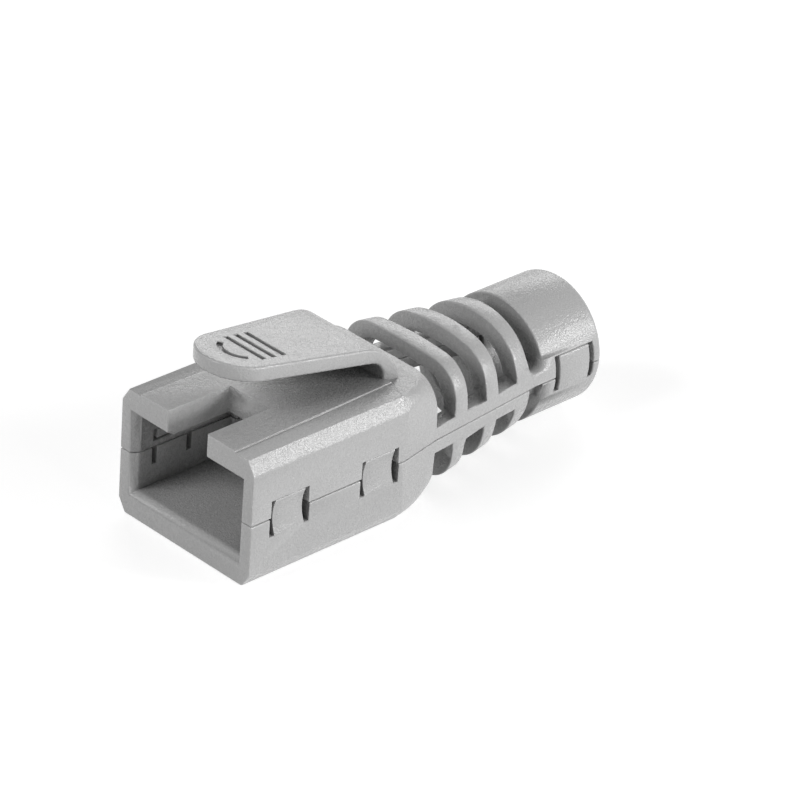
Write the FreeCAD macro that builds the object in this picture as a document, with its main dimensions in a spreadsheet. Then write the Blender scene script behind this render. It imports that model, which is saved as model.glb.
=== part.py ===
"""Snap-together strain relief boot for an RJ45 plug: two moulded half shells.

The boot's own frame: X runs from the plug mouth (x = 0) to the cable exit, Z is up, and
z = 0 is the parting plane on which the two shells meet.  Millimetres throughout.
"""
import FreeCAD, Part
import math
import os
import Sketcher

# ----------------------------------------------------------------------------
# Driving dimensions: one spreadsheet row each, in millimetres or degrees
# ----------------------------------------------------------------------------
DIMENSIONS = [
    ("body_width", 15.0, "across the body's sides"),
    ("body_height", 11.0, "body bottom to rail top"),
    ("body_length", 16.0, "straight part behind the mouth"),
    ("edge_across", 0.75, "long edge bevel, across the top"),
    ("edge_down", 1.15, "long edge bevel, down the side"),
    ("deck_width", 10.7, "raised deck on top of the body, at the mouth"),
    ("deck_rear_width", 9.8, "raised deck where it meets the strap"),
    ("deck_step", 0.18, "deck above the outer strips"),
    ("notch_width", 4.4, "latch notch in the deck"),
    ("notch_length", 6.3, "latch notch behind the mouth"),
    ("mouth_flare", 0.45, "lead-in round the mouth"),
    ("plug_width", 11.9, "plug pocket"),
    ("plug_height", 6.6, "plug pocket"),
    ("plug_depth", 10.0, "plug pocket"),
    ("chamber_width", 10.4, "wire chamber behind the plug"),
    ("chamber_height", 6.4, "wire chamber behind the plug"),
    ("chamber_corner", 1.2, "wire chamber corner radius"),
    ("neck_face", 20.05, "front of the first slot"),
    ("neck_width", 13.4, "tail at its first slot"),
    ("neck_height", 10.6, "tail at its first slot"),
    ("neck_corner", 2.8, "tail's corner radius there"),
    ("hollow_width", 10.6, "inside of the tail at its first slot"),
    ("hollow_height", 8.2, "inside of the tail at its first slot"),
    ("hollow_corner", 2.2, "inside corner radius there"),
    ("hollow_end_radius", 3.6, "inside of the tail at the collar"),
    ("slot_width", 2.3, "three wide flex slots"),
    ("slot_pitch", 3.83, "slot to slot"),
    ("last_slot_width", 1.6, "narrow slot at the collar"),
    ("spine_height", 2.4, "side spine that the slots leave"),
    ("waist_thickness", 1.0, "lower shell's spine in the narrow slot"),
    ("collar_radius", 5.5, "round cable collar"),
    ("collar_length", 6.75, "round cable collar"),
    ("collar_round", 0.5, "collar's rear edge"),
    ("bore_radius", 3.2, "cable bore"),
    ("tab_tip", 1.4, "front end of the latch guard"),
    ("tab_height", 10.95, "top of the guard's tip above the parting plane"),
    ("tab_angle", 9.4, "fall of the guard towards its root"),
    ("tab_thickness", 1.3, "latch guard"),
    ("tab_root_width", 8.5, "latch guard at its root"),
    ("tab_nose_width", 6.65, "latch guard where its nose begins"),
    ("tab_rear", 17.95, "back of the guard's strap"),
    ("strap_thickness", 1.7, "strap that carries the guard"),
    ("tab_bend", 4.3, "outer bend radius of the strap"),
    ("gap_corner", 1.5, "inner bend radius of the strap"),
    ("grip_width", 0.48, "finger grooves"),
    ("grip_depth", 0.22, "finger grooves"),
    ("grip_span", 4.4, "finger grooves, side to side"),
    ("grip_pitch", 1.05, "finger grooves"),
    ("grip_start", 3.9, "first straight groove, along the guard"),
    ("latch_start", 2.45, "first side latch behind the mouth"),
    ("latch_pitch", 9.35, "side latch to side latch"),
    ("latch_length", 3.05, "side latch"),
    ("latch_height", 1.5, "side latch above the parting plane"),
    ("latch_root", 1.55, "relief cuts below the parting plane"),
    ("relief_width", 0.5, "relief cuts beside a latch"),
    ("window_gap", 0.4, "upper shell's window beside a latch"),
    ("stem_thickness", 0.85, "side latch stem"),
    ("scoop_depth", 0.32, "thumb scoop in a side latch"),
    ("catch_height", 0.6, "catch bar that a latch hooks over"),
    ("fit_gap", 0.03, "clearance of a latch at its catch bar"),
    ("collar_latch_start", 1.95, "collar latch behind the collar's front"),
    ("collar_latch_length", 3.4, "collar latch"),
    ("collar_latch_height", 1.8, "collar latch above the parting plane"),
    ("collar_latch_root", 1.25, "its relief cuts below the parting plane"),
    ("collar_relief", 0.45, "relief cuts beside a collar latch"),
]

doc = FreeCAD.newDocument("strain_relief_boot")
sheet = doc.addObject("Spreadsheet::Sheet", "sizes")
for row, (alias, number, meaning) in enumerate(DIMENSIONS, start=1):
    sheet.set("A%d" % row, meaning)
    sheet.set("B%d" % row, str(number))
    sheet.setAlias("B%d" % row, alias)
doc.recompute()


# ----------------------------------------------------------------------------
# Sizes that carry both their number and the expression bound to the sheet
# ----------------------------------------------------------------------------
class Size:
    """A length as a number for drawing and as the sheet expression that drives it."""

    def __init__(self, number, text=None):
        self.number = float(number)
        self.text = text if text is not None else repr(float(number))

    def join(self, other, sign, number):
        return Size(number, "(%s %s %s)" % (self.text, sign, other.text))

    def __add__(self, other):
        other = as_size(other)
        return self.join(other, "+", self.number + other.number)

    def __sub__(self, other):
        other = as_size(other)
        return self.join(other, "-", self.number - other.number)

    def __mul__(self, other):
        other = as_size(other)
        return self.join(other, "*", self.number * other.number)

    def __truediv__(self, other):
        other = as_size(other)
        return self.join(other, "/", self.number / other.number)

    def __neg__(self):
        return Size(-self.number, "(0 - %s)" % self.text)


def as_size(value):
    return value if isinstance(value, Size) else Size(value)


def of_sheet(alias):
    return Size(sheet.get(alias), "sizes.%s" % alias)


def trig(name, function, degrees):
    return Size(function(math.radians(degrees.number)), "%s(%s * 1deg)" % (name, degrees.text))


def root_of(size):
    return Size(math.sqrt(size.number), "sqrt(%s)" % size.text)


ZERO = Size(0)
HALF_WIDTH = of_sheet("body_width") / 2
HALF_HEIGHT = of_sheet("body_height") / 2
BODY_LENGTH = of_sheet("body_length")
NECK_FACE = of_sheet("neck_face")
SLOT_WIDTH = of_sheet("slot_width")
SLOT_PITCH = of_sheet("slot_pitch")
WIDE_SLOTS = 3
LAST_SLOT = NECK_FACE + SLOT_PITCH * WIDE_SLOTS
TAIL_END = LAST_SLOT + of_sheet("last_slot_width") / 2      # the taper ends in mid slot
COLLAR_FRONT = LAST_SLOT + of_sheet("last_slot_width")
COLLAR_END = COLLAR_FRONT + of_sheet("collar_length")
COLLAR_RADIUS = of_sheet("collar_radius")
BORE_RADIUS = of_sheet("bore_radius")
HOLLOW_END = of_sheet("hollow_end_radius")
SPINE = of_sheet("spine_height") / 2
PLUG_HALF = of_sheet("plug_width") / 2
PLUG_TOP = of_sheet("plug_height") / 2
PLUG_DEPTH = of_sheet("plug_depth")
LATCH_START = of_sheet("latch_start")
LATCH_LENGTH = of_sheet("latch_length")
LATCH_HEIGHT = of_sheet("latch_height")
LATCH_ROOT = of_sheet("latch_root")
RELIEF = of_sheet("relief_width")
WINDOW_GAP = of_sheet("window_gap")
STEM = of_sheet("stem_thickness")
CATCH = of_sheet("catch_height")
FIT = of_sheet("fit_gap")
COLLAR_LATCH = COLLAR_FRONT + of_sheet("collar_latch_start")
COLLAR_LATCH_LENGTH = of_sheet("collar_latch_length")
COLLAR_LATCH_HEIGHT = of_sheet("collar_latch_height")
COLLAR_RELIEF = of_sheet("collar_relief")
PAST = of_sheet("body_width")               # far enough to run out of the part


# ----------------------------------------------------------------------------
# Sketch and feature helpers
# ----------------------------------------------------------------------------
def plane_of(body, role):
    return [item for item in body.Origin.OriginFeatures if item.Role == role][0]


def sketch_on(body, name, role, height=ZERO):
    """A sketch on one of the body's own origin planes, moved along its normal by height."""
    sketch = body.newObject("Sketcher::SketchObject", name)
    sketch.AttachmentSupport = [(plane_of(body, role), "")]
    sketch.MapMode = "FlatFace"
    sketch.setExpression("AttachmentOffset.Base.z", height.text)
    return sketch


def bind(sketch, constraint, size):
    index = sketch.addConstraint(constraint)
    label = "size%d" % index
    sketch.renameConstraint(index, label)
    sketch.setExpression("Constraints.%s" % label, size.text)


def arc_between(start, end, radius, turn):
    """The shorter arc from start to end: turn is 1 for counterclockwise, -1 for clockwise."""
    chord = end - start
    rise = math.sqrt(max(radius ** 2 - (chord.Length / 2) ** 2, 0.0))
    normal = FreeCAD.Vector(-chord.y, chord.x, 0).normalize()
    centre = start + chord * 0.5 + normal * (rise * turn)
    first, last = (start, end) if turn > 0 else (end, start)
    angles = [math.atan2(p.y - centre.y, p.x - centre.x) for p in (first, last)]
    circle = Part.Circle(centre, FreeCAD.Vector(0, 0, 1), radius)
    return Part.ArcOfCircle(circle, angles[0], angles[1])


def draw(sketch, outline):
    """A closed outline of (u, v) corners; a corner may add (radius, turn) for an arc to the next."""
    first = sketch.GeometryCount
    count = len(outline)
    places = [FreeCAD.Vector(corner[0].number, corner[1].number, 0) for corner in outline]
    ends = []
    for index, corner in enumerate(outline):
        start, end = places[index], places[(index + 1) % count]
        if len(corner) == 2:
            sketch.addGeometry(Part.LineSegment(start, end), False)
            ends.append((1, 2))
        else:
            radius, turn = corner[2], corner[3]
            sketch.addGeometry(arc_between(start, end, radius.number, turn), False)
            ends.append((1, 2) if turn > 0 else (2, 1))
    for index, corner in enumerate(outline):
        here, following = first + index, first + (index + 1) % count
        meeting = Sketcher.Constraint(
            "Coincident", here, ends[index][1], following, ends[(index + 1) % count][0])
        sketch.addConstraint(meeting)
        point = (-1, 1, here, ends[index][0])
        bind(sketch, Sketcher.Constraint("DistanceX", *point, corner[0].number), corner[0])
        bind(sketch, Sketcher.Constraint("DistanceY", *point, corner[1].number), corner[1])
        if len(corner) > 2:
            bind(sketch, Sketcher.Constraint("Radius", here, corner[2].number), corner[2])
    return sketch


def rectangle(u_low, v_low, u_high, v_high):
    return [(u_low, v_low), (u_low, v_high), (u_high, v_high), (u_high, v_low)]


def draw_both_sides(sketch, outline):
    """The outline and its mirror image across the boot's middle plane."""
    draw(sketch, outline)
    far = [(-corner[0],) + corner[1:] for corner in outline]
    return draw(sketch, [corner if len(corner) == 2 else corner[:3] + (-corner[3],) for corner in far])


def side_strips(body, name, low, high, inner, height=ZERO):
    """A level sketch of two strips from x = low to high, outside |y| = inner."""
    sketch = sketch_on(body, name, "XY_Plane", height)
    draw(sketch, rectangle(low, inner, high, PAST))
    return draw(sketch, rectangle(low, -PAST, high, -inner))


def extrude(body, kind, name, sketch, length, forward=True, both_ways=False):
    """A pad along the sketch's normal, or a pocket that cuts along it, when forward is set."""
    feature = body.newObject("PartDesign::" + kind, name)
    feature.Profile = sketch
    feature.setExpression("Length", length.text)
    if both_ways:
        feature.SideType = "Symmetric"
    else:
        feature.Reversed = forward if kind == "Pocket" else not forward
    return feature


def loft(body, kind, name, start, end):
    feature = body.newObject("PartDesign::" + kind, name)
    feature.Profile = start
    feature.Sections = [end]
    feature.Ruled = True
    return feature


def pattern_along(body, name, features, spacing, copies):
    """Repeats features along X; spacing is the step from one copy to the next."""
    pattern = body.newObject("PartDesign::LinearPattern", name)
    pattern.Originals = features
    pattern.Direction = (plane_of(body, "X_Axis"), [""])
    pattern.setExpression("Length", (spacing * (copies - 1)).text)
    pattern.Occurrences = copies
    body.Tip = pattern
    return pattern


# ----------------------------------------------------------------------------
# Half sections, seen along X: u is Y and v is Z; side is 1 above, -1 below
# ----------------------------------------------------------------------------
def bevelled_half(side):
    across = HALF_WIDTH - of_sheet("edge_across")
    down = (HALF_HEIGHT - of_sheet("edge_down")) * side
    return [(-HALF_WIDTH, ZERO), (-HALF_WIDTH, down), (-across, HALF_HEIGHT * side),
            (across, HALF_HEIGHT * side), (HALF_WIDTH, down), (HALF_WIDTH, ZERO)]


def rounded_half(side, half_width, half_height, corner):
    across = half_width - corner
    down = (half_height - corner) * side
    top = half_height * side
    return [(-half_width, ZERO), (-half_width, down, corner, -side), (-across, top),
            (across, top, corner, -side), (half_width, down), (half_width, ZERO)]


def round_half(side, radius):
    """A half circle in five arcs, so that it lofts from a rounded half section."""
    outline = []
    for degrees in (0, 26, 62, 118, 154):
        angle = math.radians(degrees)
        outline.append((-radius * math.cos(angle), radius * (math.sin(angle) * side), radius, -side))
    outline.append((radius, ZERO))
    return outline


# ----------------------------------------------------------------------------
# Features that both shells share
# ----------------------------------------------------------------------------
def outer_form(body, side):
    """Bevelled body, shoulder to the neck, tail that turns round, and the collar."""
    mouth = draw(sketch_on(body, "mouth_outline", "YZ_Plane"), bevelled_half(side))
    extrude(body, "Pad", "straight_body", mouth, BODY_LENGTH)
    shoulder = draw(sketch_on(body, "shoulder_outline", "YZ_Plane", BODY_LENGTH), bevelled_half(side))
    neck_half = rounded_half(side, of_sheet("neck_width") / 2, of_sheet("neck_height") / 2,
                             of_sheet("neck_corner"))
    neck = draw(sketch_on(body, "neck_outline", "YZ_Plane", NECK_FACE), neck_half)
    loft(body, "AdditiveLoft", "shoulder", shoulder, neck)
    tail_start = draw(sketch_on(body, "tail_outline", "YZ_Plane", NECK_FACE), neck_half)
    collar = draw(sketch_on(body, "collar_outline", "YZ_Plane", TAIL_END),
                  round_half(side, COLLAR_RADIUS))
    loft(body, "AdditiveLoft", "tail", tail_start, collar)
    ring = draw(sketch_on(body, "ring_outline", "YZ_Plane", TAIL_END),
                round_half(side, COLLAR_RADIUS))
    extrude(body, "Pad", "collar", ring, COLLAR_END - TAIL_END)


def round_collar_end(body):
    """Rounds the collar's outer rear edge."""
    doc.recompute()
    base = body.Tip
    names = []
    for number, edge in enumerate(base.Shape.Edges, start=1):
        at_end = abs(edge.BoundBox.XMin - COLLAR_END.number) < 1e-4 and edge.BoundBox.XLength < 1e-4
        middle = edge.valueAt((edge.FirstParameter + edge.LastParameter) / 2)
        if at_end and abs(math.hypot(middle.y, middle.z) - COLLAR_RADIUS.number) < 1e-3:
            names.append("Edge%d" % number)
    fillet = body.newObject("PartDesign::Fillet", "collar_rim")
    fillet.Base = (base, names)
    fillet.setExpression("Radius", "sizes.collar_round")


def inner_form(body, side):
    """Plug pocket with its lead-in, wire chamber, hollow tail and cable bore."""
    flare = of_sheet("mouth_flare")
    top = PLUG_TOP * side
    outer = rectangle(-(PLUG_HALF + flare), ZERO, PLUG_HALF + flare, top + flare * side)
    inner = rectangle(-PLUG_HALF, ZERO, PLUG_HALF, top)
    lip = draw(sketch_on(body, "lead_in_outline", "YZ_Plane"), outer)
    throat = draw(sketch_on(body, "throat_outline", "YZ_Plane", flare * 1.5), inner)
    loft(body, "SubtractiveLoft", "lead_in", lip, throat)
    plug = draw(sketch_on(body, "plug_outline", "YZ_Plane"), inner)
    extrude(body, "Pocket", "plug_pocket", plug, PLUG_DEPTH)
    chamber_half = rounded_half(side, of_sheet("chamber_width") / 2, of_sheet("chamber_height") / 2,
                                of_sheet("chamber_corner"))
    chamber = draw(sketch_on(body, "chamber_outline", "YZ_Plane", PLUG_DEPTH), chamber_half)
    extrude(body, "Pocket", "wire_chamber", chamber, BODY_LENGTH - PLUG_DEPTH)
    hollow_half = rounded_half(side, of_sheet("hollow_width") / 2, of_sheet("hollow_height") / 2,
                               of_sheet("hollow_corner"))
    chamber_end = draw(sketch_on(body, "chamber_end", "YZ_Plane", BODY_LENGTH), chamber_half)
    neck = draw(sketch_on(body, "neck_hollow", "YZ_Plane", NECK_FACE), hollow_half)
    loft(body, "SubtractiveLoft", "shoulder_hollow", chamber_end, neck)
    tail_start = draw(sketch_on(body, "hollow_start", "YZ_Plane", NECK_FACE), hollow_half)
    tail_end = draw(sketch_on(body, "hollow_end", "YZ_Plane", COLLAR_FRONT),
                    round_half(side, HOLLOW_END))
    loft(body, "SubtractiveLoft", "tail_hollow", tail_start, tail_end)
    bore = draw(sketch_on(body, "bore_outline", "YZ_Plane", COLLAR_FRONT),
                round_half(side, BORE_RADIUS))
    extrude(body, "Pocket", "cable_bore", bore, of_sheet("collar_length") + PAST)


def flex_slots(body, side, last_slot):
    """Three wide slots cut down to the spine, and the narrow one at the collar."""
    wide = rectangle(NECK_FACE, SPINE * side, NECK_FACE + SLOT_WIDTH, PAST * side)
    slot = draw(sketch_on(body, "slot_outline", "XZ_Plane"), wide)
    cut = extrude(body, "Pocket", "flex_slot", slot, PAST * 2, both_ways=True)
    pattern_along(body, "flex_slots", [cut], SLOT_PITCH, WIDE_SLOTS)
    narrow = draw(sketch_on(body, "last_slot_outline", "XZ_Plane"), last_slot)
    extrude(body, "Pocket", "last_slot", narrow, PAST * 2, both_ways=True)


# ----------------------------------------------------------------------------
# Upper shell: deck, latch notch, latch guard and the windows for the side latches
# ----------------------------------------------------------------------------
def raised_deck(body):
    """Widest at the mouth; it ends just inside the foot of the guard's strap."""
    front, back = of_sheet("deck_width") / 2, of_sheet("deck_rear_width") / 2
    rear = of_sheet("tab_rear") - of_sheet("strap_thickness") * 0.8
    outline = [(ZERO, -front), (ZERO, front), (rear, back), (rear, -back)]
    deck = draw(sketch_on(body, "deck_outline", "XY_Plane", HALF_HEIGHT), outline)
    extrude(body, "Pad", "deck", deck, of_sheet("deck_step"))


def latch_notch(body):
    half = of_sheet("notch_width") / 2
    outline = rectangle(-PAST, -half, of_sheet("notch_length"), half)
    notch = draw(sketch_on(body, "notch_outline", "XY_Plane", PLUG_TOP / 2), outline)
    extrude(body, "Pocket", "latch_notch", notch, PAST)


def latch_guard(body):
    """A sprung tab over the latch, carried by a bent strap that rises from the shoulder."""
    angle = of_sheet("tab_angle")
    sine = trig("sin", math.sin, angle)
    cosine = trig("cos", math.cos, angle)
    fall = trig("tan", math.tan, angle)
    tip, height = of_sheet("tab_tip"), of_sheet("tab_height")
    thickness, bend = of_sheet("tab_thickness"), of_sheet("tab_bend")
    rear, corner = of_sheet("tab_rear"), of_sheet("gap_corner")
    inside = rear - of_sheet("strap_thickness")
    bend_x = rear - bend + bend * sine
    bend_z = height - (bend_x - tip) * fall
    foot_z = bend_z - bend * cosine
    corner_x = inside - corner + corner * sine
    under_z = height - thickness / cosine
    corner_z = under_z - (corner_x - tip) * fall
    profile = [(tip, under_z), (tip, height), (bend_x, bend_z, bend, -1), (rear, foot_z),
               (inside, foot_z), (inside, corner_z - corner * cosine, corner, 1),
               (corner_x, corner_z)]
    side_view = draw(sketch_on(body, "guard_side", "XZ_Plane"), profile)
    extrude(body, "Pad", "guard", side_view, of_sheet("tab_root_width"), both_ways=True)

    root, nose = of_sheet("tab_root_width") / 2, of_sheet("tab_nose_width") / 2
    nose_x = tip + nose
    around = draw(sketch_on(body, "guard_plan", "XY_Plane", HALF_HEIGHT + of_sheet("deck_step") * 2),
                  rectangle(-PAST, -PAST, rear + PAST, PAST))
    draw(around, [(nose_x, -nose), (inside, -root), (rear + 1, -root), (rear + 1, root),
                  (inside, root), (nose_x, nose, nose, 1), (tip, ZERO, nose, 1)])
    extrude(body, "Pocket", "guard_trim", around, PAST)
    finger_grooves(body, tip, height, angle)


def finger_grooves(body, tip, height, angle):
    """Three straight grooves and a curved one in front, square to the guard's sloping top."""
    sketch = body.newObject("Sketcher::SketchObject", "groove_outlines")
    sketch.AttachmentSupport = [(plane_of(body, "XY_Plane"), "")]
    sketch.MapMode = "FlatFace"
    slope = FreeCAD.Rotation(FreeCAD.Vector(0, 1, 0), angle.number)
    sketch.AttachmentOffset = FreeCAD.Placement(FreeCAD.Vector(tip.number, 0, height.number), slope)
    sketch.setExpression("AttachmentOffset.Rotation.Angle", "%s * 1deg" % angle.text)
    sketch.setExpression("AttachmentOffset.Base.x", tip.text)
    sketch.setExpression("AttachmentOffset.Base.z", height.text)
    width, span = of_sheet("grip_width"), of_sheet("grip_span") / 2
    start = of_sheet("grip_start")
    for number in range(3):
        low = start + of_sheet("grip_pitch") * number
        draw(sketch, rectangle(low, -span, low + width, span))
    outer = of_sheet("grip_pitch") * 1.9
    inner = outer - width
    side, reach = math.sin(math.radians(62)), math.cos(math.radians(62))
    draw(sketch, [(start - outer * reach, outer * side, outer, 1), (start - outer * reach, -outer * side),
                  (start - inner * reach, -inner * side, inner, -1), (start - inner * reach, inner * side)])
    extrude(body, "Pocket", "finger_grooves", sketch, of_sheet("grip_depth"), forward=False)


def latch_windows(body):
    """Windows in the upper shell that leave a catch bar across their lower inner half."""
    low = LATCH_START - WINDOW_GAP
    high = LATCH_START + LATCH_LENGTH + WINDOW_GAP
    above = draw(sketch_on(body, "window_outline", "XZ_Plane"), rectangle(low, CATCH, high, LATCH_HEIGHT))
    window = extrude(body, "Pocket", "latch_window", above, PAST * 2, both_ways=True)
    bar = HALF_WIDTH - STEM - FIT
    sides = side_strips(body, "catch_outline", low, high, bar)
    recess = extrude(body, "Pocket", "catch_recess", sides, CATCH + FIT)
    pattern_along(body, "latch_windows", [window, recess], of_sheet("latch_pitch"), 2)


def collar_windows(body):
    low = COLLAR_LATCH - COLLAR_RELIEF
    high = COLLAR_LATCH + COLLAR_LATCH_LENGTH + COLLAR_RELIEF
    above = draw(sketch_on(body, "collar_window_outline", "XZ_Plane"),
                 rectangle(low, CATCH, high, COLLAR_LATCH_HEIGHT))
    extrude(body, "Pocket", "collar_window", above, PAST * 2, both_ways=True)
    bar = COLLAR_RADIUS - STEM - FIT
    sides = side_strips(body, "collar_catch_outline", low, high, bar)
    extrude(body, "Pocket", "collar_catch_recess", sides, CATCH + FIT)


def upper_shell():
    body = doc.addObject("PartDesign::Body", "upper_shell")
    outer_form(body, 1)
    round_collar_end(body)
    raised_deck(body)
    inner_form(body, 1)
    latch_notch(body)
    radius = of_sheet("last_slot_width") / 2
    low = SPINE + radius
    u_shape = [(LAST_SLOT, low, radius, 1), (LAST_SLOT + radius, SPINE, radius, 1), (COLLAR_FRONT, low),
               (COLLAR_FRONT, PAST), (LAST_SLOT, PAST)]
    flex_slots(body, 1, u_shape)
    latch_windows(body)
    collar_windows(body)
    latch_guard(body)
    return body


# ----------------------------------------------------------------------------
# Lower shell: plain floor and the side latches that hook over the catch bars
# ----------------------------------------------------------------------------
def waist(body):
    """Carries the narrow slot up to the parting plane, round a thin inner spine."""
    inner = HOLLOW_END + of_sheet("waist_thickness")
    sketch = side_strips(body, "waist_outline", LAST_SLOT, COLLAR_FRONT, inner, -SPINE)
    extrude(body, "Pocket", "waist", sketch, SPINE)


def relief_cuts(body, name, start, length, width, root):
    """Two cuts through each side wall, which free the root of a latch between them."""
    sketch = sketch_on(body, name + "_outline", "XZ_Plane")
    draw(sketch, rectangle(start - width, -root, start, PAST))
    draw(sketch, rectangle(start + length, -root, start + length + width, PAST))
    return extrude(body, "Pocket", name, sketch, PAST * 2, both_ways=True)


def side_latches(body):
    """Upright stems with an inward hook, each with a shallow thumb scoop in its face."""
    relief = relief_cuts(body, "latch_relief", LATCH_START, LATCH_LENGTH, RELIEF, LATCH_ROOT)
    inner = HALF_WIDTH - STEM
    hook = PLUG_HALF + FIT
    top, under = LATCH_HEIGHT - FIT, CATCH + FIT
    sunk = -of_sheet("scoop_depth")
    profile = [(HALF_WIDTH, sunk), (HALF_WIDTH, top), (hook, top), (hook, under), (inner, under),
               (inner, sunk)]
    section = draw_both_sides(sketch_on(body, "latch_section", "YZ_Plane", LATCH_START), profile)
    stem = extrude(body, "Pad", "side_latch", section, LATCH_LENGTH)
    depth = of_sheet("scoop_depth")
    half = LATCH_HEIGHT
    radius = (half * half + depth * depth) / (depth * 2)
    chord = [(HALF_WIDTH, -half, radius, -1), (HALF_WIDTH, half), (HALF_WIDTH + depth, half),
             (HALF_WIDTH + depth, -half)]
    bowl = draw_both_sides(sketch_on(body, "scoop_section", "YZ_Plane", LATCH_START), chord)
    scoop = extrude(body, "Pocket", "thumb_scoop", bowl, LATCH_LENGTH)
    pattern_along(body, "side_latches", [relief, stem, scoop], of_sheet("latch_pitch"), 2)


def collar_latches(body):
    relief_cuts(body, "collar_relief", COLLAR_LATCH, COLLAR_LATCH_LENGTH, COLLAR_RELIEF,
                of_sheet("collar_latch_root"))
    inner = COLLAR_RADIUS - STEM
    hook = (inner + BORE_RADIUS) / 2
    top, under = COLLAR_LATCH_HEIGHT - FIT, CATCH + FIT
    outer_low = root_of(COLLAR_RADIUS * COLLAR_RADIUS - under * under)
    outer_top = root_of(COLLAR_RADIUS * COLLAR_RADIUS - top * top)
    profile = [(outer_low, -under, COLLAR_RADIUS, 1), (outer_top, top), (hook, top), (hook, under),
               (inner, under), (inner, -under)]
    section = draw_both_sides(sketch_on(body, "collar_latch_section", "YZ_Plane", COLLAR_LATCH), profile)
    extrude(body, "Pad", "collar_latch", section, COLLAR_LATCH_LENGTH)


def lower_shell():
    body = doc.addObject("PartDesign::Body", "lower_shell")
    outer_form(body, -1)
    round_collar_end(body)
    inner_form(body, -1)
    flex_slots(body, -1, rectangle(LAST_SLOT, -SPINE, COLLAR_FRONT, -PAST))
    waist(body)
    side_latches(body)
    collar_latches(body)
    return body


# ----------------------------------------------------------------------------
# Build, check and write
# ----------------------------------------------------------------------------
def failed(item):
    return "Invalid" in item.State or "Error" in item.State


shells = [upper_shell(), lower_shell()]
doc.recompute()
broken = [item.Name for item in doc.Objects if failed(item)]
if broken:
    raise RuntimeError("objects that did not compute: %s" % ", ".join(broken))

os.makedirs("parts", exist_ok=True)
for shell in shells:
    shape = shell.Shape
    if shape.isNull() or not shape.isValid() or len(shape.Solids) != 1:
        raise RuntimeError("%s is not one valid solid" % shell.Label)
    shape.exportStep("parts/%s.step" % shell.Label)
    print(shell.Label, "volume %.1f mm3" % shape.Volume)
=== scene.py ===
"""Studio scene for the moulded strain relief boot: edges, finish, floor, lamps and camera.

Each shell is shown by a dressed copy of its solid.  The copy has the small roundings that a
mould leaves on its edges, shoulder corners that swell a little, a guard whose sides stay flat
over its strap, and mating faces set back so that the joint reads as a line.

The boot's frame: X from the plug mouth to the cable exit, Z up, z = 0 on the parting plane.
Metres throughout.
"""
import math

import bmesh
import bpy
from mathutils import Matrix, Vector


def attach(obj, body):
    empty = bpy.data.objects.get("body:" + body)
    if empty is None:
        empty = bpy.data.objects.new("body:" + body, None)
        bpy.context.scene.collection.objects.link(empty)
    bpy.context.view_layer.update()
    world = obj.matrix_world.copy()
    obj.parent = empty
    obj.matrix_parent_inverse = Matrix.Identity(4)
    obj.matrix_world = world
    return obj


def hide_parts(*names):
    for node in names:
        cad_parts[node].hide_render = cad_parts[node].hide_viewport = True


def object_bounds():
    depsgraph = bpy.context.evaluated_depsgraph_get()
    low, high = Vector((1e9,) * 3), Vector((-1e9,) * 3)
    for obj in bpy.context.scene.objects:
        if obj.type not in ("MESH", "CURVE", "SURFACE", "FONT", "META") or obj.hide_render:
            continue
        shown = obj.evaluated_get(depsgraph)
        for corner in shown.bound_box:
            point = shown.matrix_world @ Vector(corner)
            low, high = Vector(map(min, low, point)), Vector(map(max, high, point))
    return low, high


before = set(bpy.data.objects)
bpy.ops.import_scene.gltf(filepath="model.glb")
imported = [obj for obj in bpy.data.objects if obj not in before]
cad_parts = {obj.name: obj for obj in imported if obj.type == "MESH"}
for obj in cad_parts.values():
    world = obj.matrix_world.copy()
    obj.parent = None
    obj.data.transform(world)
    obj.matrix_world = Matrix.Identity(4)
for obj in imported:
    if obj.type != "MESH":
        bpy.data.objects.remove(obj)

CAD_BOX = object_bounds()
LOW, HIGH = CAD_BOX
CENTRE = (LOW + HIGH) / 2
MM = 0.001

# Where the forms change along the boot, from the plug mouth
FIRST_LATCH = 0.5 * MM
NOSE_CENTRE = 4.73 * MM
GRIP_END = 9.0 * MM
PLUG_DEPTH = 10.0 * MM
BODY_END = 16.0 * MM
STRAP_FRONT = 16.25 * MM
DECK_END = 16.59 * MM
STRAP_REAR = 17.95 * MM
NECK_FACE = 20.05 * MM
LAST_SLOT_FRONT = 31.4 * MM
LAST_SLOT_BACK = 33.3 * MM

# Heights, from the parting plane
SHOULDER_SIDE_LOW = 1.0 * MM
LATCH_REACH = 1.6 * MM
SHOULDER_CORNER_LOW = 2.0 * MM
SLOT_END_HIGH = 2.3 * MM
BODY_TOP = 5.5 * MM
STRAP_SIDE_LOW = BODY_TOP - 0.3 * MM
STRAP_FOOT = BODY_TOP - 0.15 * MM
DECK_TOP = 5.68 * MM
GRIP_LOW = 9.0 * MM

# Distances to the side, from the boot's middle
SLOT_END_IN = 3.0 * MM
STRAP_HALF = 4.25 * MM
STRAP_CLEAR = 4.6 * MM
SHOULDER_CORNER_IN = 4.6 * MM
NOSE_RADIUS = 3.33 * MM
GRIP_RADIUS = NOSE_RADIUS - 0.3 * MM

# Widths of the roundings that the mould leaves
WIDEST = 0.30 * MM
EDGE = 0.13 * MM
GUARD_EDGE = 0.20 * MM
SMALL_EDGE = 0.04 * MM
PARTING_EDGE = 0.11 * MM
ROUNDING_STEPS = 3

# Each mating face is set back this far
JOINT_GAP = 0.035 * MM

# The shoulder's corner faces: their inner and outer edges draw in from the body to the neck,
# and half way along they stand out by the swell
CORNER_INNER = 6.75 * MM
CORNER_INNER_DRAW = 2.85 * MM
CORNER_OUTER = 7.5 * MM
CORNER_OUTER_DRAW = 0.8 * MM
SHOULDER_STEPS = 6
SWELL_ACROSS = 0.5 * MM
SWELL_DOWN = 0.4 * MM

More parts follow.
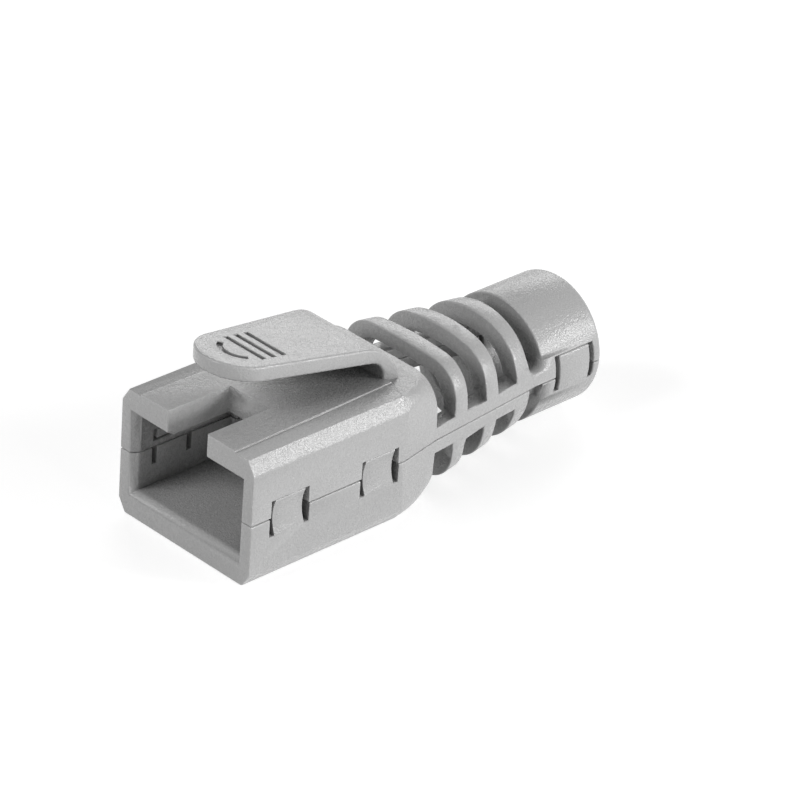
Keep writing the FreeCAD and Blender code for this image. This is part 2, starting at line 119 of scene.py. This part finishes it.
# How close counts as the same place
NEAR = 0.02 * MM
MERGE_WITHIN = 0.002 * MM
CUT_WITHIN = 0.001 * MM

# Which folds and faces count as flat, shallow, sharp or large
FLAT = math.radians(0.5)
SHALLOW = math.radians(10)
SHARP = math.radians(28)
LARGE_FACE = 3.0 * MM * MM

# How far a face's direction leans to an axis: hardly, mostly, wholly
LEANING = 0.1
MOSTLY = 0.75
SQUARE_ON = 0.9


# ----------------------------------------------------------------------------
# Dressed shells
# ----------------------------------------------------------------------------
def on_slot_end(middle, front, back):
    """The ends of the narrow slot in front of the collar."""
    in_slot = LAST_SLOT_FRONT < front and back < LAST_SLOT_BACK
    return in_slot and abs(middle.z) < SLOT_END_HIGH and abs(middle.y) > SLOT_END_IN


def on_shoulder_side(middle, front, back):
    """Between the body's end and the neck, clear of the joint and of the flat top and bottom."""
    on_shoulder = BODY_END - NEAR < front and back < NECK_FACE + NEAR
    return on_shoulder and SHOULDER_SIDE_LOW < abs(middle.z) < BODY_TOP


def on_strap_foot(middle, front, back):
    """Where the guard's strap stands on the shoulder, behind the deck."""
    behind_deck = DECK_END + NEAR < front and back < STRAP_REAR
    return behind_deck and abs(middle.y) < STRAP_CLEAR and middle.z > STRAP_FOOT


def on_grip(middle):
    """The finger grooves in the guard's nose, inside its rim."""
    from_nose = math.hypot(min(middle.x - NOSE_CENTRE, 0.0), middle.y)
    return middle.x < GRIP_END and from_nose < GRIP_RADIUS and middle.z > GRIP_LOW


def rounding(edge):
    """How wide the rounding on one edge is; inner corners and flat joints have none."""
    if len(edge.link_faces) != 2 or edge.calc_face_angle(0.0) < SHARP or not edge.is_convex:
        return 0.0
    first, second = (vertex.co for vertex in edge.verts)
    middle = (first + second) / 2
    front, back = min(first.x, second.x), max(first.x, second.x)
    lowest, highest = min(first.z, second.z), max(first.z, second.z)
    lengthwise = back - front > 0.5 * (second - first).length
    if on_slot_end(middle, front, back):
        return 0.0
    if lengthwise and on_shoulder_side(middle, front, back):
        return 0.0
    if max(abs(first.z), abs(second.z)) < NEAR:
        return PARTING_EDGE
    if on_strap_foot(middle, front, back):
        return GUARD_EDGE
    if abs(front - PLUG_DEPTH) < NEAR and abs(back - PLUG_DEPTH) < NEAR:
        return SMALL_EDGE
    if abs(middle.z) < LATCH_REACH and FIRST_LATCH < middle.x < BODY_END and back - front < NEAR:
        return SMALL_EDGE
    if highest > DECK_TOP + NEAR:
        return SMALL_EDGE if on_grip(middle) else GUARD_EDGE
    if back < NECK_FACE and lowest > BODY_TOP - NEAR and highest < DECK_TOP + NEAR:
        return SMALL_EDGE
    return EDGE


def creased(edge):
    """Inner corners, and the shallow bends that end a large flat face."""
    angle = edge.calc_face_angle(0.0)
    if not edge.is_convex and angle > SHARP:
        return True
    largest = max(face.calc_area() for face in edge.link_faces)
    return SHALLOW < angle < SHARP and largest > LARGE_FACE


def open_joint(work):
    """The mating faces set back a hair, so that the joint between the shells shows as a line."""
    away = math.copysign(JOINT_GAP, sum(vertex.co.z for vertex in work.verts))
    for vertex in work.verts:
        if abs(vertex.co.z) < NEAR:
            vertex.co.z += away


def on_strap_seam(edge):
    """The faint line down the guard's side where its taper ends."""
    ends = [vertex.co for vertex in edge.verts]
    at_front = all(abs(end.x - STRAP_FRONT) < NEAR for end in ends)
    at_side = all(abs(abs(end.y) - STRAP_HALF) < NEAR for end in ends)
    outward = all(abs(face.normal.y) > SQUARE_ON for face in edge.link_faces)
    return at_front and at_side and outward and edge.calc_face_angle(0.0) < SHARP


def flatten_strap(work):
    """The guard's taper carried on over the strap, so that each side of the guard is one face."""
    seams = [edge for edge in work.edges if on_strap_seam(edge)]
    for edge in seams:
        side = min(edge.link_faces, key=lambda face: face.calc_center_median().x)
        corner, normal = edge.verts[0].co.copy(), side.normal.copy()
        for vertex in work.verts:
            x, y, z = vertex.co
            beside = abs(y - math.copysign(STRAP_HALF, corner.y)) < NEAR
            along = STRAP_FRONT - NEAR < x < STRAP_REAR + NEAR
            if beside and along and z > STRAP_SIDE_LOW:
                drop = normal.x * (x - corner.x) + normal.z * (z - corner.z)
                vertex.co.y = corner.y - drop / normal.y
    bmesh.ops.dissolve_edges(work, edges=seams)


def on_shoulder_corner(face):
    """One of the faces that lead from a long chamfer of the body to a round corner of the neck."""
    centre, normal = face.calc_center_median(), face.normal
    inside = all(BODY_END - NEAR < vertex.co.x < NECK_FACE + NEAR for vertex in face.verts)
    slanting = abs(normal.y) > LEANING and abs(normal.z) > LEANING and abs(normal.x) < MOSTLY
    outer = abs(centre.y) > SHOULDER_CORNER_IN and abs(centre.z) > SHOULDER_CORNER_LOW
    return inside and slanting and outer


def cut_shoulder(work, station):
    """The shoulder's corner faces cut across at one station."""
    faces = [face for face in work.faces if on_shoulder_corner(face)]
    edges = {edge for face in faces for edge in face.edges}
    corners = {vertex for face in faces for vertex in face.verts}
    bmesh.ops.bisect_plane(work, geom=faces + list(edges) + list(corners), dist=CUT_WITHIN,
                           plane_co=(station, 0, 0), plane_no=(1, 0, 0))


def swell_shoulder(work):
    """The shoulder's corners swell between the body and the neck; its flat faces stay flat."""
    length = NECK_FACE - BODY_END
    for step in range(1, SHOULDER_STEPS):
        cut_shoulder(work, BODY_END + length * step / SHOULDER_STEPS)
    corner_faces = [face for face in work.faces if on_shoulder_corner(face)]
    for vertex in {vertex for face in corner_faces for vertex in face.verts}:
        x, y, z = vertex.co
        along = (x - BODY_END) / length
        inner = CORNER_INNER - CORNER_INNER_DRAW * along
        outer = CORNER_OUTER - CORNER_OUTER_DRAW * along
        toward_side = min(max((abs(y) - inner) / (outer - inner), 0.0), 1.0)
        swell = 4 * along * (1 - along)
        vertex.co.y += math.copysign(SWELL_ACROSS * swell * (1 - toward_side), y)
        vertex.co.z += math.copysign(SWELL_DOWN * swell * toward_side, z)


def dressed(name):
    """A copy of a shell with its edges rounded and its shoulder, strap and joint finished."""
    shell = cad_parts[name]
    mesh = shell.data.copy()
    mesh.name = name + "_moulding"
    work = bmesh.new()
    work.from_mesh(mesh)
    bmesh.ops.remove_doubles(work, verts=work.verts, dist=MERGE_WITHIN)
    bmesh.ops.dissolve_limit(work, angle_limit=FLAT, verts=work.verts, edges=work.edges)
    flatten_strap(work)
    swell_shoulder(work)
    width = work.edges.layers.float.new("bevel_weight_edge")
    for edge in work.edges:
        edge[width] = rounding(edge) / WIDEST
        edge.smooth = not creased(edge)
    for face in work.faces:
        face.smooth = True
    open_joint(work)
    work.to_mesh(mesh)
    work.free()
    piece = bpy.data.objects.new(name + "_moulding", mesh)
    bpy.context.scene.collection.objects.link(piece)
    piece.matrix_world = shell.matrix_world
    edges = piece.modifiers.new("moulded_edges", "BEVEL")
    edges.width = WIDEST
    edges.segments = ROUNDING_STEPS
    edges.limit_method = "WEIGHT"
    edges.use_clamp_overlap = False
    edges.harden_normals = True
    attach(piece, "root")
    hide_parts(name)
    return piece


# ----------------------------------------------------------------------------
# Shader maths
# ----------------------------------------------------------------------------
class Finish:
    """A node tree under construction; its nodes are made by one method."""

    def __init__(self, owner):
        owner.use_nodes = True
        self.owner = owner
        self.tree = owner.node_tree
        self.tree.nodes.clear()

    def node(self, kind, output, settings, sockets):
        made = self.tree.nodes.new(kind)
        for name, value in settings.items():
            setattr(made, name, value)
        for name, value in sockets.items():
            socket = made.inputs[name]
            if isinstance(value, Signal):
                self.tree.links.new(value.socket, socket)
            else:
                socket.default_value = value
        return Signal(self, made.outputs[output])

    def surface(self, kind, shader):
        end = self.tree.nodes.new(kind)
        self.tree.links.new(shader.socket, end.inputs["Surface"])
        return self.owner


class Signal:
    """A node's output, with the arithmetic that adds Math nodes."""

    def __init__(self, finish, socket):
        self.finish = finish
        self.socket = socket

    def math(self, operation, other=0.0, clamp=False):
        return self.finish.node("ShaderNodeMath", 0, {"operation": operation, "use_clamp": clamp},
                                {0: self, 1: other})

    def __add__(self, other):
        return self.math("ADD", other)

    def __radd__(self, other):
        return self.math("ADD", other)

    def __sub__(self, other):
        return self.math("SUBTRACT", other)

    def __rsub__(self, other):
        return self.math("MULTIPLY", -1.0).math("ADD", other)

    def __mul__(self, other):
        return self.math("MULTIPLY", other)

    def __rmul__(self, other):
        return self.math("MULTIPLY", other)

    def clamped(self):
        return self.math("ADD", 0.0, clamp=True)


# ----------------------------------------------------------------------------
# Moulded plastic
# ----------------------------------------------------------------------------
# How fine each pattern is, in features to the metre
GRAIN_SCALE = 7000.0
COARSE_SCALE = 2400.0
FLOW_SCALE = 150.0

GRAIN_HEIGHT = 0.058 * MM
# How far the lighter edges reach, partly wear and partly a painted highlight
WEAR_AND_HIGHLIGHT_REACH = 0.3 * MM
# How far the painted shade in slots and recesses looks for nearby surfaces
PAINTED_SHADE_REACH = 3.0 * MM
PLASTIC_IOR = 1.5


def noise(finish, place, scale, detail):
    return finish.node("ShaderNodeTexNoise", 0, {}, {
        "Vector": place, "Scale": scale, "Detail": detail, "Roughness": 0.5})


def occlusion(finish, inside, reach):
    """White where nothing of the same shell lies within reach, outside it or inside it."""
    return finish.node("ShaderNodeAmbientOcclusion", 1,
                       {"inside": inside, "only_local": True, "samples": 8}, {"Distance": reach})


def worn_and_highlit_edges(finish):
    """White on outer edges, black on flats: partly edge wear, partly a painted highlight along the
    edges.
    """
    return ((1.0 - occlusion(finish, True, WEAR_AND_HIGHLIGHT_REACH)) * 2.2 - 0.15).clamped()


def painted_recess_shade(finish):
    """White on open faces; dark in slots, corners and under the guard, as painted shade in the
    recesses.
    """
    return occlusion(finish, False, PAINTED_SHADE_REACH)


def moulded_plastic(name):
    """Spark-eroded satin plastic: a fine grain, faint flow marks, smoother edges lightened partly
    by wear and partly by a painted highlight, and painted shade in its slots and recesses.
    """
    finish = Finish(bpy.data.materials.new(name))
    place = finish.node("ShaderNodeTexCoord", 3, {}, {})
    grain = noise(finish, place, GRAIN_SCALE, 1.0)
    coarse = noise(finish, place, COARSE_SCALE, 2.0)
    flow = noise(finish, place, FLOW_SCALE, 4.0)
    wear_and_highlight = worn_and_highlit_edges(finish)
    height = grain * 0.6 + coarse * 0.4
    bump = finish.node("ShaderNodeBump", 0, {}, {
        "Height": height, "Strength": 1.0, "Distance": GRAIN_HEIGHT})
    # The grey with flow marks and grain; its edges lighter, partly from wear and partly as a
    # painted highlight
    shade = 0.40 + flow * 0.03 + grain * 0.06 + wear_and_highlight * 0.06
    # Painted shade: the grey darkened in slots, corners and under the guard, down to a fifth where
    # most closed in
    shade = shade * (0.2 + painted_recess_shade(finish) * 0.82)
    colour = finish.node("ShaderNodeCombineColor", 0, {}, {0: shade, 1: shade, 2: shade})
    rough = 0.13 + flow * 0.06 + coarse * 0.22 - wear_and_highlight * 0.05
    shader = finish.node("ShaderNodeBsdfPrincipled", 0, {}, {
        "Base Color": colour, "Roughness": rough, "Normal": bump, "IOR": PLASTIC_IOR})
    return finish.surface("ShaderNodeOutputMaterial", shader)


shell_finish = moulded_plastic("moulded_grey")
for shell_name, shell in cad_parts.items():
    shell.data.materials.clear()
    shell.data.materials.append(shell_finish)
    moulding = dressed(shell_name)
    moulding.data.materials.clear()
    moulding.data.materials.append(shell_finish)


# ----------------------------------------------------------------------------
# Floor, surroundings, lamps and camera
# ----------------------------------------------------------------------------
WHITE = (1, 1, 1, 1)
AMBIENT = 0.1
FLOOR_GREY = (0.8, 0.8, 0.8, 1)
FLOOR_ROUGHNESS = 0.7
FLOOR_GLOW = 0.6
FLOOR_SIZE = 4

# Name, azimuth and elevation in degrees, width and height in metres, power in watts
LAMPS = (
    ("near_side", 10, 10, 0.6, 0.3, 4.5),
    ("tail_side", 41, 20, 0.36, 0.3, 4.4),
    ("mouth_side", -110, 32, 0.6, 0.5, 4.9),
    ("far_side", 135, 25, 0.6, 0.5, 2.3),
)


def direction(azimuth, elevation):
    a, e = math.radians(azimuth), math.radians(elevation)
    return Vector((math.sin(a) * math.cos(e), -math.cos(a) * math.cos(e), math.sin(e)))


def seen_directly(finish):
    """1 for the camera and for what gloss and glass show of the surroundings, 0 for soft light."""
    camera, gloss, glass = (finish.node("ShaderNodeLightPath", "Is %s Ray" % kind, {}, {})
                            for kind in ("Camera", "Glossy", "Transmission"))
    return (camera + gloss + glass).clamped()


def white_floor(name):
    """Matt pale floor that looks white and still carries shadows."""
    finish = Finish(bpy.data.materials.new(name))
    colour = {"Base Color": FLOOR_GREY, "Roughness": FLOOR_ROUGHNESS, "Specular IOR Level": 0.0}
    plain = finish.node("ShaderNodeBsdfPrincipled", 0, {}, colour)
    bright = finish.node("ShaderNodeBsdfPrincipled", 0, {}, {
        **colour, "Emission Color": WHITE, "Emission Strength": FLOOR_GLOW})
    shader = finish.node("ShaderNodeMixShader", 0, {}, {
        0: seen_directly(finish), 1: plain, 2: bright})
    return finish.surface("ShaderNodeOutputMaterial", shader)


def white_surroundings(name):
    """White to look at, and a faint even light from everywhere."""
    finish = Finish(bpy.data.worlds.new(name))
    faint = finish.node("ShaderNodeBackground", 0, {}, {"Color": WHITE, "Strength": AMBIENT})
    white = finish.node("ShaderNodeBackground", 0, {}, {"Color": WHITE, "Strength": 1.0})
    shader = finish.node("ShaderNodeMixShader", 0, {}, {
        0: seen_directly(finish), 1: faint, 2: white})
    return finish.surface("ShaderNodeOutputWorld", shader)


def softbox(name, azimuth, elevation, width, height, power):
    """A lamp one metre from the boot."""
    lamp = bpy.data.lights.new(name, "AREA")
    lamp.shape = "RECTANGLE"
    lamp.size = width
    lamp.size_y = height
    lamp.energy = power
    box = bpy.data.objects.new(name, lamp)
    toward = direction(azimuth, elevation)
    box.location = CENTRE + toward
    box.rotation_euler = toward.to_track_quat("Z", "Y").to_euler()
    bpy.context.scene.collection.objects.link(box)


def camera_at(azimuth, elevation, roll, place, focal_length):
    """A camera that looks along one direction; place is right, up and back from the origin."""
    back = direction(azimuth, elevation)
    level = Vector((0, 0, 1)).cross(back).normalized()
    upright = back.cross(level)
    lean = math.radians(roll)
    right = level * math.cos(lean) + upright * math.sin(lean)
    up = upright * math.cos(lean) - level * math.sin(lean)
    lens = bpy.data.cameras.new("camera")
    lens.sensor_width = 36
    lens.lens = focal_length
    lens.clip_start = 0.01
    lens.clip_end = 10
    camera = bpy.data.objects.new("camera", lens)
    spot = right * place[0] + up * place[1] + back * place[2]
    camera.matrix_world = Matrix((
        (right.x, up.x, back.x, spot.x),
        (right.y, up.y, back.y, spot.y),
        (right.z, up.z, back.z, spot.z),
        (0, 0, 0, 1)))
    bpy.context.scene.collection.objects.link(camera)
    bpy.context.scene.camera = camera


bpy.ops.mesh.primitive_plane_add(size=FLOOR_SIZE, location=(CENTRE.x, 0, LOW.z - NEAR))
floor = bpy.context.object
floor.name = "floor"
floor.data.materials.append(white_floor("floor_white"))
bpy.context.scene.world = white_surroundings("studio")

for lamp_settings in LAMPS:
    softbox(*lamp_settings)

camera_at(azimuth=-45.82, elevation=29.71, roll=4.24,
          place=(16.31 * MM, 6.60 * MM, 341.66 * MM), focal_length=203.03)
bpy.context.scene.view_settings.view_transform = "Standard"
